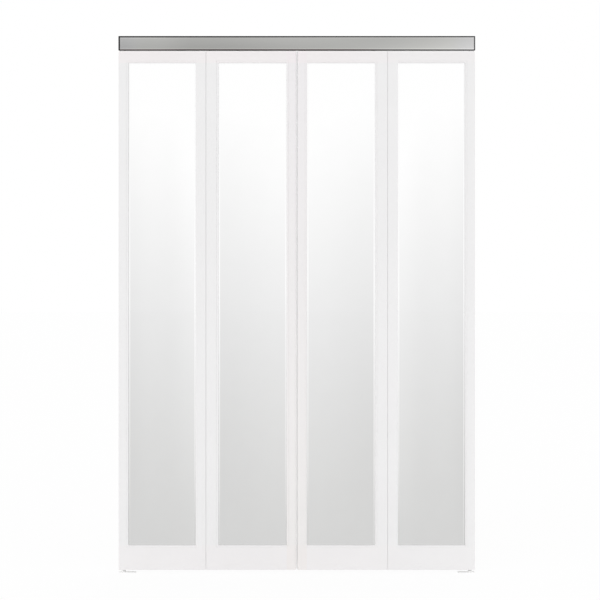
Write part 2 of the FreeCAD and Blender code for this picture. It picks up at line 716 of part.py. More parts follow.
def fascia():
    """Front cover of C section with rounded edges and two barbed prongs behind."""
    length = (track_end_x, -track_end_x)
    along = Vector(1, 0, 0)
    shell = box(length, (fascia_front_y, fascia_back_y), (fascia_bottom, OPENING_HEIGHT))
    front_edges = edges_along(shell, along, lambda middle: middle.y < fascia_back_y - OVERCUT)
    shell = shell.makeFillet(FASCIA_EDGE_RADIUS, front_edges)
    hollow = box((length[0] - OVERCUT, length[1] + OVERCUT),
                 (fascia_front_y + FASCIA_WALL, fascia_back_y + OVERCUT),
                 (fascia_bottom + FASCIA_WALL, OPENING_HEIGHT - FASCIA_WALL))
    inner_edges = edges_along(hollow, along, lambda middle: middle.y < fascia_back_y)
    hollow = hollow.makeFillet(FASCIA_EDGE_RADIUS - FASCIA_WALL, inner_edges)
    pieces = [carve(shell, [hollow])]
    head_back_y = -track_half_width - CLIP_RIB_REACH
    barb_front_y = head_back_y + CLIP_CLEARANCE
    barb_back_y = barb_front_y + CLIP_BARB_DEPTH
    prong_inner = CLIP_HEAD_THICKNESS / 2 + CLIP_CLEARANCE
    barb_inner = CLIP_RIB_THICKNESS / 2 + CLIP_CLEARANCE
    for side in (-1, 1):
        middle_z = clip_middle_z()
        prong_z = sorted((middle_z + side * prong_inner,
                          middle_z + side * (prong_inner + CLIP_PRONG_THICKNESS)))
        barb_z = sorted((middle_z + side * barb_inner,
                         middle_z + side * (prong_inner + CLIP_PRONG_THICKNESS)))
        pieces.append(box(length, (fascia_front_y + FASCIA_WALL / 2, barb_back_y), prong_z))
        pieces.append(box(length, (barb_front_y, barb_back_y), barb_z))
    return join(pieces)


def end_cap():
    """Plug-in cover over the left ends of track and fascia, stepped as they are."""
    plate_x = (jamb_edge_x, track_end_x)
    step_y = -track_half_width
    front = box(plate_x, (fascia_front_y, step_y), (fascia_bottom, OPENING_HEIGHT))
    front_edges = edges_along(front, Vector(1, 0, 0), lambda middle: middle.y < step_y - OVERCUT)
    front = front.makeFillet(FASCIA_EDGE_RADIUS, front_edges)
    rear = box(plate_x, (step_y, track_half_width), (track_bottom, OPENING_HEIGHT))
    spigot_x = (track_end_x - END_CAP_THICKNESS / 2, track_end_x + END_CAP_SPIGOT_LENGTH)
    spigot_z = (lip_top + FIXING_CLEARANCE, web_bottom - FIXING_CLEARANCE)
    spigot = box(spigot_x, (-track_insert_half_width, track_insert_half_width), spigot_z)
    inner_half_width = track_insert_half_width - END_CAP_SPIGOT_WALL
    hollow = box((track_end_x, spigot_x[1] + OVERCUT), (-inner_half_width, inner_half_width),
                 (spigot_z[0] + END_CAP_SPIGOT_WALL, spigot_z[1] - END_CAP_SPIGOT_WALL))
    return carve(join([front, rear, spigot]), [hollow])


def bracket_range_x():
    """Where the left top bracket lies along the track."""
    start = track_end_x + END_CAP_SPIGOT_LENGTH + MOVING_CLEARANCE
    return (start, start + TOP_BRACKET_LENGTH)


def clamp_screw_x():
    """Place of the left bracket's clamp screw."""
    return bracket_range_x()[1] - CLAMP_SCREW_INSET


def top_bracket():
    """Block on the track's lips with the top pivot's socket and a clamp-screw hole."""
    block = box(bracket_range_x(), (-track_insert_half_width, track_insert_half_width),
                (lip_top, web_bottom - MOVING_CLEARANCE))
    corners = edges_along(block, Vector(0, 0, 1), lambda middle: True)
    block = block.makeChamfer(TOP_BRACKET_CHAMFER, corners)
    socket = rod(pivot_x, 0, lip_top - OVERCUT, top_pin_end + TOP_SOCKET_SPARE,
                 PIN_RADIUS + RUNNING_CLEARANCE)
    clamp_hole = rod(clamp_screw_x(), 0, lip_top - OVERCUT, OPENING_HEIGHT,
                     CLAMP_SCREW_RADIUS + FIXING_CLEARANCE)
    return carve(block, [socket, clamp_hole])


def clamp_screw():
    """Set screw that jacks the bracket down on the lips from the track's web."""
    bottom = web_bottom - CLAMP_SCREW_LENGTH
    screw = turned(clamp_screw_x(), 0, [
        (0, bottom),
        (CLAMP_SCREW_RADIUS, bottom),
        (CLAMP_SCREW_RADIUS, web_bottom - PIN_CHAMFER),
        (CLAMP_SCREW_RADIUS - PIN_CHAMFER, web_bottom),
        (0, web_bottom),
    ])
    socket = hex_bar(clamp_screw_x(), 0, bottom - OVERCUT, bottom + CLAMP_SOCKET_DEPTH,
                     CLAMP_SOCKET_ACROSS_FLATS)
    return carve(screw, [socket])


def centre_snubber():
    """Bumper between the two guide wheels, wedged between the lips and the web."""
    half_length = -guide_x - wheel_radius - guide_throw - SNUBBER_CLEARANCE
    half_post = SNUBBER_POST_LENGTH / 2
    width = (-track_insert_half_width, track_insert_half_width)
    base = box((-half_length, half_length), width, (lip_top, lip_top + SNUBBER_HEIGHT))
    post = box((-half_post, half_post), width, (lip_top, web_bottom))
    return join([base, post])


# -------------------------------------------------------------------- the model
os.makedirs("parts", exist_ok=True)

outer_leaf = make_leaf((jamb_edge_x, outer_hinge_edge_x), JAMB_STILE_WIDTH, SIGHT_WIDTH, 0,
                       [sprung_sleeve_bore(pivot_x), bottom_sleeve_bore()], screw_cutters(-1))
inner_leaf = make_leaf((inner_hinge_edge_x, lead_edge_x), INNER_HINGE_STILE_WIDTH, inner_sight_width,
                       LEAD_EDGE_BEVEL, screw_cutters(1), [sprung_sleeve_bore(guide_x)])
shared_names = ["top_rail", "bottom_rail", "mirror", "backing_board"]
for name, solid in zip(["jamb_stile", "hinge_stile"] + shared_names, outer_leaf):
    save_both(f"outer_{name}", [solid])
for name, solid in zip(["hinge_stile", "lead_stile"] + shared_names, inner_leaf):
    save_both(f"inner_{name}", [solid])

save_both("outer_hinge_plates", hinge_plates(-1))
save_both("inner_hinge_plates", hinge_plates(1))
save_both("hinge_pins", hinge_pins())
save_both("outer_hinge_screws", hinge_screws(-1))
save_both("inner_hinge_screws", hinge_screws(1))

save_both("top_pivot_pin", [top_pivot_pin()])
save("left_top_pivot_spring", [coil_spring(pivot_x)])
save("right_top_pivot_spring", [coil_spring(-pivot_x)])
save_both("pivot_sleeves", [sprung_sleeve(pivot_x), bottom_sleeve()])
save_both("bottom_pivot_pin", [bottom_pivot_pin()])
save_both("floor_bracket", [floor_bracket()])

save_both("guide_pin", [guide_pin()])
save("left_guide_spring", [coil_spring(guide_x)])
save("right_guide_spring", [coil_spring(-guide_x)])
save_both("guide_sleeve", [sprung_sleeve(guide_x)])
save_both("guide_wheel", [guide_wheel()])

save("top_track", [top_track()])
save("fascia", [fascia()])
save_both("end_cap", [end_cap()])
save_both("top_pivot_bracket", [top_bracket()])
save("bracket_clamp_screws", [clamp_screw(), mirrored(clamp_screw())])
save("centre_snubber", [centre_snubber()])
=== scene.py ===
import json
import math

import bpy
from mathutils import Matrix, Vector


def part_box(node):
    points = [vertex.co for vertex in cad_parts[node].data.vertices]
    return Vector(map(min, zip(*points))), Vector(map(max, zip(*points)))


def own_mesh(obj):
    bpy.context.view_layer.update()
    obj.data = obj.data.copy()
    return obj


# Looks of the mirrored bifold closet door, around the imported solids. All in metres.
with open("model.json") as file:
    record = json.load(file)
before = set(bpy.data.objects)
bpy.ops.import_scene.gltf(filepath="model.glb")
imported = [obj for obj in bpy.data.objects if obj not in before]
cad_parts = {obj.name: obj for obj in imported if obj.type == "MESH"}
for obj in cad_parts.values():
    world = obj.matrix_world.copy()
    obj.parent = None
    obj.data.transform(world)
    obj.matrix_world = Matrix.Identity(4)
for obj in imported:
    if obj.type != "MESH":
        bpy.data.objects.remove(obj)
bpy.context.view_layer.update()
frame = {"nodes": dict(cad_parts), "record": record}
scene = bpy.context.scene
scene.view_settings.view_transform = "Standard"

# ------------------------------------------------------------ view of the photo
FRAME_PIXELS = 600
METRES_PER_PIXEL = 0.003785
DOOR_CENTRE_PIXEL = 296.8
EYE_HEIGHT = 1.0337
EYE_DISTANCE = 5.5
SENSOR_WIDTH = 36.0

# ------------------------------------------------------------------ places used
FASCIA_LOW, FASCIA_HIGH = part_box("fascia")
STILE_LOW, STILE_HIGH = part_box("left_outer_jamb_stile")
BOTTOM_RAIL_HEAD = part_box("left_outer_bottom_rail")[1].z
TOP_RAIL_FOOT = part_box("left_outer_top_rail")[0].z

# The ground bevel of a mirror, as the solids have it.
MIRROR_BEVEL_WIDTH = 0.0135

# ------------------------------------------------------------------- the studio
WHITE = (1.0, 1.0, 1.0, 1.0)
FLOOR_HALF_WIDTH = 120.0
FLOOR_TONE = 0.96
FLOOR_GLOW = 0.93
AMBIENT = 0.8
LAMP_ANGLE = math.radians(50)


# --------------------------------------------------------------- node shorthand
# Where smooth noise mostly lies.
NOISE_RANGE = (0.3, 0.7)


def opaque(colour):
    """A colour with full alpha, each channel at most 1."""
    return tuple(min(1.0, channel) for channel in colour) + (1.0,)


def grey(value):
    """A neutral colour, which may be brighter than 1 inside a curve."""
    return (value, value, value, 1.0)


class Graph:
    """A cleared node tree. Each value given may be a number, a colour or a socket."""

    def __init__(self, owner):
        owner.use_nodes = True
        self.tree = owner.node_tree
        self.tree.nodes.clear()

    def connect(self, socket, value):
        """Link a socket to another, or set its value."""
        if isinstance(value, bpy.types.NodeSocket):
            self.tree.links.new(value, socket)
        else:
            socket.default_value = value

    def add(self, kind, inputs, **settings):
        """A shader node with its settings and inputs."""
        made = self.tree.nodes.new("ShaderNode" + kind)
        for key, value in settings.items():
            setattr(made, key, value)
        for key, value in inputs.items():
            self.connect(made.inputs[key], value)
        return made

    def maths(self, operation, first, second=0.0):
        """The result of a Math node."""
        return self.add("Math", {0: first, 1: second}, operation=operation).outputs[0]

    def plus(self, first, second):
        """The sum of two values."""
        return self.maths("ADD", first, second)

    def minus(self, first, second):
        """The first value less the second."""
        return self.maths("SUBTRACT", first, second)

    def times(self, first, second):
        """The product of two values."""
        return self.maths("MULTIPLY", first, second)

    def greatest(self, first, second):
        """The greater of two values."""
        return self.maths("MAXIMUM", first, second)

    def least(self, first, second):
        """The lesser of two values."""
        return self.maths("MINIMUM", first, second)

    def distance(self, first, second):
        """How far apart two values are."""
        return self.maths("ABSOLUTE", self.minus(first, second))

    def ramp(self, value, start, end, low=0.0, high=1.0, interpolation="SMOOTHSTEP"):
        """From low to high while the value goes from start to end."""
        return self.add("MapRange", {"Value": value, "From Min": start, "From Max": end,
                                     "To Min": low, "To Max": high},
                        interpolation_type=interpolation).outputs[0]

    def line(self, value, start, end, low=0.0, high=1.0):
        """A ramp in a straight line, where the plain ramp eases in and out."""
        return self.ramp(value, start, end, low, high, "LINEAR")

    def spread(self, texture, low=0.0, high=1.0):
        """From low to high over the values that smooth noise mostly has."""
        return self.ramp(texture, *NOISE_RANGE, low, high)

    def tone_curve(self, share, stops):
        """A smooth grey curve through (place, tone) stops."""
        made = self.add("ValToRGB", {0: share})
        made.color_ramp.interpolation = "B_SPLINE"
        points = made.color_ramp.elements
        for number, (place, tone) in enumerate(stops):
            point = points[number] if number < len(points) else points.new(place)
            point.position = place
            point.color = grey(tone)
        return made.outputs[0]

    def blend_colour(self, share, first, second):
        """A colour between two others."""
        made = self.add("Mix", {"Factor": share}, data_type="RGBA")
        self.connect(made.inputs[6], first)
        self.connect(made.inputs[7], second)
        return made.outputs[2]

    def blend_value(self, share, first, second):
        """A number between two others."""
        return self.add("Mix", {0: share, 2: first, 3: second}, data_type="FLOAT").outputs[0]

    def colour(self, red, green, blue):
        """A colour of three values."""
        return self.add("CombineColor", {0: red, 1: green, 2: blue}).outputs[0]

    def place(self):
        """The point in the row frame, as it was at rest."""
        return self.add("TexCoord", {}).outputs["Object"]

    def axes(self):
        """The x, y and z of the point in the row frame, as it was at rest."""
        return self.add("SeparateXYZ", {"Vector": self.place()}).outputs

    def noise(self, scale, detail=3.0, stretch=(1.0, 1.0, 1.0)):
        """Smooth noise from 0 to 1 at a scale in waves per metre."""
        mapped = self.add("Mapping", {"Vector": self.place(), "Scale": stretch}).outputs[0]
        return self.add("TexNoise", {"Vector": mapped, "Scale": scale,
                                     "Detail": detail}).outputs[0]

    def bump(self, height, distance):
        """A bump normal from a height of that many metres."""
        return self.add("Bump", {"Height": height, "Distance": distance}).outputs[0]


def new_material(name):
    """A material with one Principled shader. Gives it, its graph and the shader's inputs."""
    material = bpy.data.materials.new(name)
    graph = Graph(material)
    shader = graph.add("BsdfPrincipled", {})
    graph.add("OutputMaterial", {"Surface": shader.outputs[0]})
    return material, graph, shader.inputs


# Each ramp below is (start, end), or (start, end, low, high): low before start and high
# past end. A gain multiplies the tone, and a lift is added to it.

# ------------------------------------------------------------------------ paint
PAINT_CLOUDS = 6.0
PAINT_PEEL = 700.0
PAINT_PEEL_DEPTH = 0.00004
PAINT_TONES = (0.848, 0.858)
PAINT_ROUGHNESS = (0.42, 0.5)
PAINT_SPECULAR = 0.3
# Painted light: lighter towards the foot and under the fascia near the top, a painted
# highlight along the leaves' top edge, and painted light in the middle seam.
PAINTED_LIGHT_TO_FOOT = (0.0, STILE_HIGH.z, 1.008, 0.972)
PAINTED_LIGHT_UNDER_FASCIA = (0.016, 0.003, 1.0, 1.035)
PAINTED_HIGHLIGHT_TOP_EDGE = (0.0051, 0.0045, 1.0, 1.155)
PAINTED_LIGHT_IN_SEAM = (0.0040, 0.0034, 1.0, 1.10)
# Faintly warm on the two lead stiles and on the rails, less so on the right.
LEAD_STILE_EDGE = (0.039, 0.037)
RAIL_EDGE_SOFTNESS = 0.002
BOTTOM_RAIL_RED = 0.012
TOP_RAIL_RED = 0.028
RAIL_RED_TO_RIGHT = (0.15, 0.45, 1.0, 0.45)
PAINT_RED, PAINT_GREEN, PAINT_BLUE = 1.001, 0.995, 0.999
LEAD_GREEN_LOSS = 0.015
LEAD_BLUE_LOSS = (0.0, TOP_RAIL_FOOT, 0.030, 0.006)


def painted_fibreboard():
    """Satin white paint with a faint roller texture, and painted light at the foot, the top
    and the middle seam.
    """
    material, g, inputs = new_material("white_paint")
    x, _, z = g.axes()
    peel = g.noise(PAINT_PEEL, detail=2.0)
    below_top = g.minus(STILE_HIGH.z, z)
    from_middle = g.maths("ABSOLUTE", x)
    # Painted light, lighter towards the foot and under the fascia's shadow near the top.
    coat = g.times(g.line(z, *PAINTED_LIGHT_TO_FOOT), g.ramp(below_top, *PAINTED_LIGHT_UNDER_FASCIA))
    # A painted highlight along the leaves' top edge.
    coat = g.times(coat, g.ramp(below_top, *PAINTED_HIGHLIGHT_TOP_EDGE))
    coat = g.times(coat, g.spread(g.noise(PAINT_CLOUDS), *PAINT_TONES))
    # Painted light in the shaded middle seam.
    coat = g.times(coat, g.ramp(from_middle, *PAINTED_LIGHT_IN_SEAM))
    soft = RAIL_EDGE_SOFTNESS
    rail_red = g.greatest(
        g.ramp(z, BOTTOM_RAIL_HEAD + soft, BOTTOM_RAIL_HEAD - soft, 0.0, BOTTOM_RAIL_RED),
        g.ramp(z, TOP_RAIL_FOOT - soft, TOP_RAIL_FOOT + soft, 0.0, TOP_RAIL_RED))
    on_lead = g.ramp(from_middle, *LEAD_STILE_EDGE)
    red = g.plus(PAINT_RED, g.times(rail_red, g.ramp(x, *RAIL_RED_TO_RIGHT)))
    green = g.minus(PAINT_GREEN, g.times(on_lead, LEAD_GREEN_LOSS))
    blue = g.minus(PAINT_BLUE, g.times(on_lead, g.line(z, *LEAD_BLUE_LOSS)))
    g.connect(inputs["Base Color"],
              g.colour(g.times(coat, red), g.times(coat, green), g.times(coat, blue)))
    g.connect(inputs["Roughness"], g.spread(peel, *PAINT_ROUGHNESS))
    g.connect(inputs["Normal"], g.bump(peel, PAINT_PEEL_DEPTH))
    inputs["Specular IOR Level"].default_value = PAINT_SPECULAR
    return material


# ---------------------------------------------------------------------- mirrors
# The painted reflection's tone from a sheet's foot to its top, and the most that it may reach.
PAINTED_REFLECTION_TONES = ((0.0, 0.661), (0.2, 0.710), (0.42, 0.796), (0.66, 0.913), (0.88, 1.010))
BRIGHTEST_SHEET = 0.998
BRIGHTEST_BEVEL_HIGHLIGHT = 0.985
MIRROR_HAZE = 14.0
MIRROR_HAZE_LIFT = (-0.003, 0.003)
MIRROR_ROUGHNESS = (0.012, 0.022)
BEVEL_ROUGHNESS = 0.10
MIRROR_BLUE_UPWARDS = (0.1, 0.5, 0.993, 1.0)
# Across a sheet, from -1 on its jamb side to 1 on the side of the door's middle, the painted
# reflection lifts.
OUTER_LIFT_TO_MIDDLE = (0.1, 1.0, -0.002, 0.040)
OUTER_LOSS_TO_JAMB = (-0.3, -1.0, 0.0, 0.026)
INNER_LIFT_ACROSS = (-1.1, 1.1, -0.026, 0.021)
# Up a sheet, where those lifts count.
LIFTS_FROM_FOOT = (-0.12, 0.3)
LIFTS_TO_TOP = (1.0, 0.7)
# A painted highlight makes the ground bevel lighter than the sheet, but for its foot, and less
# so low down on the side of the door's middle.
BEVEL_EDGE = (-0.0002, 0.0002)
BEVEL_HIGHLIGHT_GAIN = (0.0, 0.2, 1.07, 1.20)
BEVEL_HIGHLIGHT_LOSS_TO_MIDDLE = (0.0, 0.5)
BEVEL_HIGHLIGHT_LOSS_DOWNWARDS = (0.70, 0.48, 0.0, 0.085)
BEVEL_FOOT_HIGHLIGHT = 1.03
# Painted shade: the outermost strip of the outer sheets' bevels goes darker downwards.
SHADE_STRIP_START = (0.0034, 0.0040)
SHADE_STRIP_BRIGHTEST = 0.84
SHADE_STRIP_GAIN = (0.0, 0.45, 0.86, 1.0)


def silvered_mirror(node_name):
    """Silvered glass with a ground bevel; its colour is a painted reflection, clear at the top
    and greyer downwards.
    """
    material, g, inputs = new_material(node_name + "_glass")
    outer = "outer" in node_name
    low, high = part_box(node_name)
    middle = (low + high) / 2
    half = (high - low) / 2
    x, _, z = g.axes()
    up = g.line(z, low.z, high.z)
    side = 1 if middle.x < 0 else -1
    across = g.times(g.minus(x, middle.x), side / half.x)
    # Painted reflection: lighter across the sheet towards the door's middle.
    if outer:
        painted_lift = g.minus(g.ramp(across, *OUTER_LIFT_TO_MIDDLE),
                       g.ramp(across, *OUTER_LOSS_TO_JAMB))
    else:
        painted_lift = g.ramp(across, *INNER_LIFT_ACROSS)
    painted_lift = g.times(painted_lift, g.times(g.ramp(up, *LIFTS_FROM_FOOT), g.ramp(up, *LIFTS_TO_TOP)))
    haze = g.noise(MIRROR_HAZE)
    # Painted reflection: white at the top of the sheet and greyer downwards, with random haze.
    reflection_and_haze = g.plus(g.tone_curve(up, PAINTED_REFLECTION_TONES), painted_lift)
    reflection_and_haze = g.plus(reflection_and_haze, g.spread(haze, *MIRROR_HAZE_LIFT))

    flat_x = half.x - MIRROR_BEVEL_WIDTH
    flat_z = half.z - MIRROR_BEVEL_WIDTH
    past_x = g.minus(g.distance(x, middle.x), flat_x)
    past_z = g.minus(g.distance(z, middle.z), flat_z)
    bevel = g.ramp(g.greatest(past_x, past_z), *BEVEL_EDGE)
    # Painted highlight on the ground bevel, weaker at its foot and low down towards the door's
    # middle.
    at_foot = g.maths("GREATER_THAN", g.minus(low.z + MIRROR_BEVEL_WIDTH, z), past_x)
    highlight_loss = g.times(g.ramp(across, *BEVEL_HIGHLIGHT_LOSS_TO_MIDDLE), g.ramp(up, *BEVEL_HIGHLIGHT_LOSS_DOWNWARDS))
    highlight_gain = g.minus(g.ramp(up, *BEVEL_HIGHLIGHT_GAIN), highlight_loss)
    bevel_highlight = g.times(reflection_and_haze, g.blend_value(at_foot, highlight_gain, BEVEL_FOOT_HIGHLIGHT))
    tone = g.blend_value(bevel, g.least(reflection_and_haze, BRIGHTEST_SHEET),
                         g.least(bevel_highlight, BRIGHTEST_BEVEL_HIGHLIGHT))
    # Painted shade on the outer sheets' outermost bevel strip, darker downwards.
    if outer:
        start, full = SHADE_STRIP_START
        shade_strip = g.ramp(g.times(across, -half.x), flat_x + start, flat_x + full)
        shade_strip = g.times(shade_strip, g.minus(1.0, at_foot))
        shaded = g.times(g.least(reflection_and_haze, SHADE_STRIP_BRIGHTEST), g.ramp(up, *SHADE_STRIP_GAIN))
        tone = g.blend_value(shade_strip, tone, shaded)
    blue = g.times(tone, g.ramp(up, *MIRROR_BLUE_UPWARDS))
    g.connect(inputs["Base Color"], g.colour(tone, tone, blue))
    inputs["Metallic"].default_value = 1.0
    g.connect(inputs["Roughness"],
              g.plus(g.spread(haze, *MIRROR_ROUGHNESS), g.times(bevel, BEVEL_ROUGHNESS)))
    return material


# ------------------------------------------------------------------- the fascia
FASCIA_STREAKS = 1800.0
FASCIA_STREAK_LENGTHENING = (0.01, 1.0, 1.0)
FASCIA_STREAK_DEPTH = 0.000008
FASCIA_STREAK_LIFT = (0.25, 0.75, -0.012, 0.012)
FASCIA_ROUGHNESS = (0.25, 0.75, 0.34, 0.42)
# Broad bands of painted reflection along the length: a dip left of the middle, lighter to the
# right.
FASCIA_TONE = 0.479
RIGHT_START = 0.20
RIGHT_LIFT = 0.178
DIP_START = (-0.54, -0.38)
DIP_END = (0.06, -0.34)
DIP_DEPTH = 0.055
LEFT_END_LOSS = (-0.60, -0.66, 0.0, 0.020)
# Painted reflection: the face is lighter upwards on the left and downwards on the right.
UPWARD_LIFT = (-0.1, 0.6, 0.046, -0.052)
# Each long edge is turned over, with a band of painted shade on it. The foot's very edge is
# darker still.
TOP_BAND_DEPTH = (-0.3, 0.3, 0.0043, 0.0035)
TOP_BAND_FADE = 0.0024
FOOT_LINE_GAIN = (0.0008, 0.0014, 0.2, 1.0)
FOOT_BAND_EDGE = (0.0040, 0.0048)
FOOT_BAND_LEFT = (-0.63, -0.38, 0.68, 0.52)
FOOT_BAND_RIGHT = (0.20, 0.38, 0.0, 0.05)
# A painted shade line at each end is deeper and wider on the left.
END_LINE_DEPTH = (-0.5, 0.5, 0.0029, 0.0020)
END_LINE_FADE = 0.0008
END_LINE_GAIN = (-0.5, 0.5, 0.0, 0.20)
# A fine painted highlight line lies inside each band of painted shade.
TOP_BRIGHT_LINE = ((0.0064, 0.0074), (0.0122, 0.0102))
TOP_BRIGHT_LEFT = (-0.60, -0.28, 0.045, 0.004)
TOP_BRIGHT_RIGHT = (0.02, 0.22, 0.0, 0.024)
FOOT_BRIGHT_LINE = ((0.0046, 0.0052), (0.0086, 0.0074))
FOOT_BRIGHT_LIFT = (0.1, 0.55, 0.095, 0.145)
# Behind this depth, on the underside, the metal is plain, without painted shade.
PLAIN_DEPTH = (0.003, 0.004)
# The metal is faintly warm, and warmer in the painted shade band at the foot, but for its
# right.
FOOT_BAND_WARMTH = (0.18, 0.40, 0.91, 1.0)
FACE_BLUE = (0.03, 0.10, 1.0, 0.971)


def satin_fascia():
    """Brushed satin metal with broad bands of painted reflection, painted shade on its rounded
    edges and ends, and fine painted highlight lines.
    """
    material, g, inputs = new_material("satin_fascia")
    x, y, z = g.axes()
    streaks = g.noise(FASCIA_STREAKS, detail=2.0, stretch=FASCIA_STREAK_LENGTHENING)
    below_top = g.minus(FASCIA_HIGH.z, z)
    above_foot = g.minus(z, FASCIA_LOW.z)
    from_end = g.minus(FASCIA_HIGH.x, g.maths("ABSOLUTE", x))

    # Painted reflection in broad bands along the length, lighter upwards on the left and
    # downwards on the right.
    run = g.line(x, RIGHT_START, FASCIA_HIGH.x)
    dip = g.times(g.ramp(x, *DIP_START), g.ramp(x, *DIP_END))
    tone = g.plus(g.times(g.times(run, run), RIGHT_LIFT), FASCIA_TONE)
    tone = g.minus(tone, g.times(dip, DIP_DEPTH))
    tone = g.minus(tone, g.ramp(x, *LEFT_END_LOSS))
    height = g.line(z, FASCIA_LOW.z, FASCIA_HIGH.z, -1.0, 1.0)
    tone = g.plus(tone, g.times(height, g.ramp(x, *UPWARD_LIFT)))
    tone = g.plus(tone, g.ramp(streaks, *FASCIA_STREAK_LIFT))

    def painted_highlight_line(from_edge, edges, painted_lift):
        """The painted highlight inside a line between two soft edges."""
        rise, fall = edges
        return g.times(g.times(g.ramp(from_edge, *rise), g.ramp(from_edge, *fall)), painted_lift)

    # Painted highlight lines inside the bands of painted shade.
    top_lift = g.plus(g.ramp(x, *TOP_BRIGHT_LEFT), g.ramp(x, *TOP_BRIGHT_RIGHT))
    foot_lift = g.ramp(x, *FOOT_BRIGHT_LIFT)
    tone = g.plus(tone, g.plus(painted_highlight_line(below_top, TOP_BRIGHT_LINE, top_lift),
                               painted_highlight_line(above_foot, FOOT_BRIGHT_LINE, foot_lift)))

    # Painted shade on the turned top and foot edges and at the ends, but not on the underside.
    band_end = g.ramp(x, *TOP_BAND_DEPTH)
    at_top = g.ramp(below_top, band_end, g.plus(band_end, TOP_BAND_FADE))
    band_gain = g.plus(g.ramp(x, *FOOT_BAND_LEFT), g.ramp(x, *FOOT_BAND_RIGHT))
    at_foot = g.times(g.ramp(above_foot, *FOOT_LINE_GAIN),
                      g.ramp(above_foot, *FOOT_BAND_EDGE, band_gain, 1.0))
    line_end = g.line(x, *END_LINE_DEPTH)
    at_end = g.ramp(from_end, line_end, g.plus(line_end, END_LINE_FADE),
                    g.line(x, *END_LINE_GAIN), 1.0)
    shade = g.times(g.times(at_top, at_foot), at_end)
    start, full = PLAIN_DEPTH
    plain = g.ramp(y, FASCIA_LOW.y + start, FASCIA_LOW.y + full)
    tone = g.times(tone, g.blend_value(plain, shade, 1.0))

    green = g.times(tone, g.ramp(above_foot, *FOOT_BAND_EDGE,
                                 g.ramp(x, *FOOT_BAND_WARMTH), 1.0))
    blue = g.times(green, g.ramp(from_end, *FACE_BLUE))
    g.connect(inputs["Base Color"], g.colour(tone, green, blue))
    inputs["Metallic"].default_value = 1.0
    g.connect(inputs["Roughness"], g.ramp(streaks, *FASCIA_ROUGHNESS))
    g.connect(inputs["Normal"], g.bump(streaks, FASCIA_STREAK_DEPTH))
    return material


# -------------------------------------------------------------- other materials
STREAKS = 2400.0
STREAK_LENGTHENING = 0.02
METAL_CONTRAST = 0.05
METAL_CLOUDS = 30.0
METAL_ROUGHNESS_RANGE = 0.04


def brushed_metal(name, colour, roughness, streak_axis, streak_depth=0.00001):
    """Metal with fine streaks along one axis."""
    material, g, inputs = new_material(name)
    stretch = tuple(STREAK_LENGTHENING if axis == streak_axis else 1.0 for axis in "xyz")
    streaks = g.noise(STREAKS, detail=2.0, stretch=stretch)
    darker, lighter = (opaque(channel * (1 + change) for channel in colour)
                       for change in (-METAL_CONTRAST, METAL_CONTRAST))
    g.connect(inputs["Base Color"], g.blend_colour(streaks, darker, lighter))
    inputs["Metallic"].default_value = 1.0
    g.connect(inputs["Roughness"],
              g.spread(g.noise(METAL_CLOUDS), roughness - METAL_ROUGHNESS_RANGE,
                       roughness + METAL_ROUGHNESS_RANGE))
    g.connect(inputs["Normal"], g.bump(streaks, streak_depth))
    return material


BOARD_BROWNS = ((0.235, 0.127, 0.060), (0.270, 0.150, 0.073))
BOARD_MOTTLE_BROWN = (0.300, 0.175, 0.090)
BOARD_FIBRE_BROWN = (0.40, 0.26, 0.145)
BOARD_CLOUDS = 9.0
BOARD_MOTTLE = 160.0
BOARD_MOTTLE_RANGE = (0.35, 0.75)
BOARD_FIBRES = 1500.0
BOARD_FIBRE_LENGTHENING = 0.14
BOARD_FIBRE_RANGE = (0.58, 0.78)
BOARD_FIBRE_STRENGTH = 0.6
BOARD_FIBRE_DEPTH = 0.00003
BOARD_ROUGHNESS = (0.5, 0.62)


def hardboard():
    """Smooth brown hardboard, mottled and with short pressed fibres lying all ways."""
    material, g, inputs = new_material("hardboard")
    mottle = g.noise(BOARD_MOTTLE, detail=5.0)
    upright = g.noise(BOARD_FIBRES, detail=2.0, stretch=(1.0, 1.0, BOARD_FIBRE_LENGTHENING))
    level = g.noise(BOARD_FIBRES, detail=2.0, stretch=(BOARD_FIBRE_LENGTHENING, 1.0, 1.0))
    dark, light = BOARD_BROWNS
    base = g.blend_colour(g.spread(g.noise(BOARD_CLOUDS)), opaque(dark), opaque(light))
    base = g.blend_colour(g.ramp(mottle, *BOARD_MOTTLE_RANGE), base,
                          opaque(BOARD_MOTTLE_BROWN))
    fibres = g.greatest(g.ramp(upright, *BOARD_FIBRE_RANGE), g.ramp(level, *BOARD_FIBRE_RANGE))
    g.connect(inputs["Base Color"],
              g.blend_colour(g.times(fibres, BOARD_FIBRE_STRENGTH), base,
                             opaque(BOARD_FIBRE_BROWN)))
    g.connect(inputs["Roughness"], g.spread(mottle, *BOARD_ROUGHNESS))
    g.connect(inputs["Normal"], g.bump(fibres, BOARD_FIBRE_DEPTH))
    return material


GRAIN_DEPTH = 0.00003
GRAIN_GAIN = 1.08
GRAIN_LIFT = 0.004
GRAIN_ROUGHNESS_RANGE = 0.05


def moulded(name, colour, roughness, grain=900.0, translucence=0.0):
    """Moulded plastic, rubber or powder coat with a fine surface grain."""
    material, g, inputs = new_material(name)
    texture = g.noise(grain, detail=4.0)
    lighter = opaque(channel * GRAIN_GAIN + GRAIN_LIFT for channel in colour)
    g.connect(inputs["Base Color"], g.blend_colour(g.spread(texture), opaque(colour), lighter))
    g.connect(inputs["Roughness"], g.spread(texture, roughness - GRAIN_ROUGHNESS_RANGE,
                                            roughness + GRAIN_ROUGHNESS_RANGE))
    g.connect(inputs["Normal"], g.bump(texture, GRAIN_DEPTH))
    inputs["Transmission Weight"].default_value = translucence
    return material


